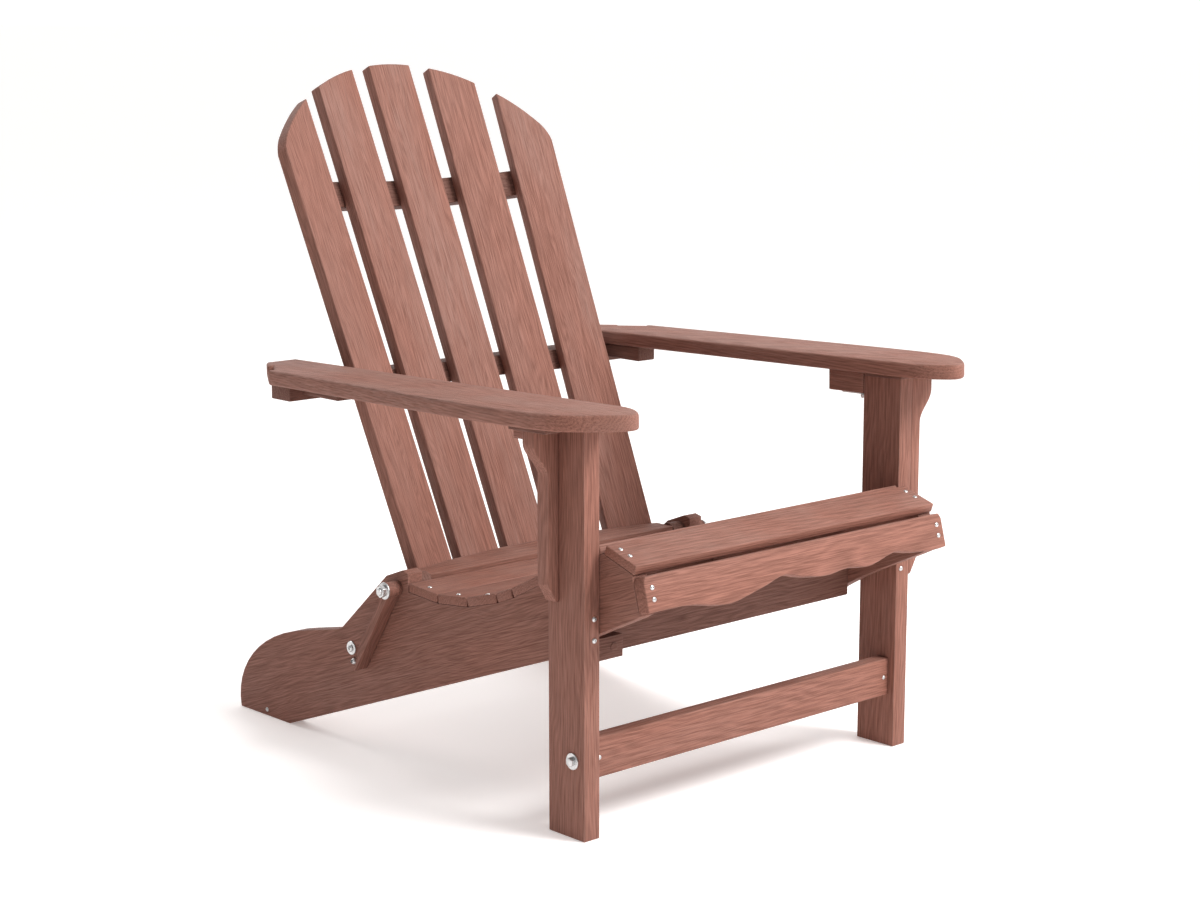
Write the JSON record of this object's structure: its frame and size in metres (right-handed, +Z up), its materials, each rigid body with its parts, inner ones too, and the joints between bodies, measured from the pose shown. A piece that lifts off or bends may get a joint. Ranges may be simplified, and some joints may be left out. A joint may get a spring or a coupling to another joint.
{
  "type": "folding adirondack chair",
  "caption": "Folding plank garden chair with a fanned, arched back, a scooped slatted seat, a wavy front apron, wide round-nosed arms and long sloping side rails.",
  "frame": {"origin": "on the floor under the middle of the overall box", "axes": "+Z up, the sitter faces -Y, +X is to the left hand of someone sitting in the chair facing -Y"},
  "size_m": [0.784, 0.9065, 0.9683],
  "materials": {
    "plank": "matt embossed woodgrain, reddish brown",
    "bracing": "matt embossed woodgrain, darker reddish brown",
    "steel": "bright stainless"
  },
  "bodies": {
    "seat": {"side_rail_left": "plank", "side_rail_right": "plank", "front_cross_brace": "bracing", "brace_block": "bracing", "rear_seat_bearer": "bracing", "seat_slat_1": "plank", "seat_slat_2": "plank", "seat_slat_3": "plank", "seat_slat_4": "plank", "seat_slat_5": "plank", "seat_slat_6": "plank", "seat_slat_7": "plank", "front_seat_slat": "plank", "front_apron": "plank", "seat_screws": "steel", "apron_screws": "steel", "rail_bolts": "steel", "foot_screws": "steel", "back_pivot_bolts": "steel", "back_pivot_nuts": "steel"},
    "back": {"back_slat_1": "plank", "back_slat_2": "plank", "back_slat_3": "plank", "back_slat_4": "plank", "back_slat_5": "plank", "back_upper_brace": "bracing", "back_cross_bar": "bracing", "back_lower_brace": "bracing", "back_hinge_plates": "bracing", "back_foot_slat": "plank", "rear_arm_rests": "bracing", "back_screws": "steel"},
    "leg_frame": {"front_leg_left": "plank", "front_leg_right": "plank", "leg_bracket_left": "plank", "leg_bracket_right": "plank", "front_stretcher": "plank", "stretcher_bolts": "steel", "leg_screws": "steel", "leg_pivot_bolts": "steel", "leg_hinge_leaves": "steel", "arm_hinge_pins": "steel"},
    "arm_left": {"arm_left": "plank", "arm_plate_left": "bracing", "arm_cleat_left": "plank", "arm_hinge_leaf_left": "steel"},
    "arm_right": {"arm_right": "plank", "arm_plate_right": "bracing", "arm_cleat_right": "plank", "arm_hinge_leaf_right": "steel"},
    "lever_left": {"clamp_lever_left": "bracing"},
    "lever_right": {"clamp_lever_right": "bracing"}
  },
  "joints": [
    {"name": "back_fold", "type": "hinge", "parent": "seat", "child": "back", "pos_m": [0, 0.05432, 0.2555], "axis": [1, 0, 0], "range_deg": [0, 97]},
    {"name": "leg_fold", "type": "hinge", "parent": "seat", "child": "leg_frame", "pos_m": [0, -0.32768, 0.285], "axis": [1, 0, 0], "range_deg": [0, 48.5]},
    {"name": "arm_left_fold", "type": "hinge", "parent": "leg_frame", "child": "arm_left", "pos_m": [0, -0.28914, 0.50537], "axis": [1, 0, 0], "range_deg": [-11.64, 0]},
    {"name": "arm_right_fold", "type": "hinge", "parent": "leg_frame", "child": "arm_right", "pos_m": [0, -0.28914, 0.50537], "axis": [1, 0, 0], "range_deg": [-11.64, 0]},
    {"name": "lever_left_turn", "type": "hinge", "parent": "seat", "child": "lever_left", "pos_m": [0, 0.05432, 0.2555], "axis": [1, 0, 0], "range_deg": [-100, 0]},
    {"name": "lever_right_turn", "type": "hinge", "parent": "seat", "child": "lever_right", "pos_m": [0, 0.05432, 0.2555], "axis": [1, 0, 0], "range_deg": [-100, 0]}
  ],
  "couplings": [
    {"joint": "leg_fold", "follows": "back_fold", "ratio": 0.5},
    {"joint": "arm_left_fold", "follows": "back_fold", "ratio": -0.12},
    {"joint": "arm_right_fold", "follows": "back_fold", "ratio": -0.12}
  ]
}
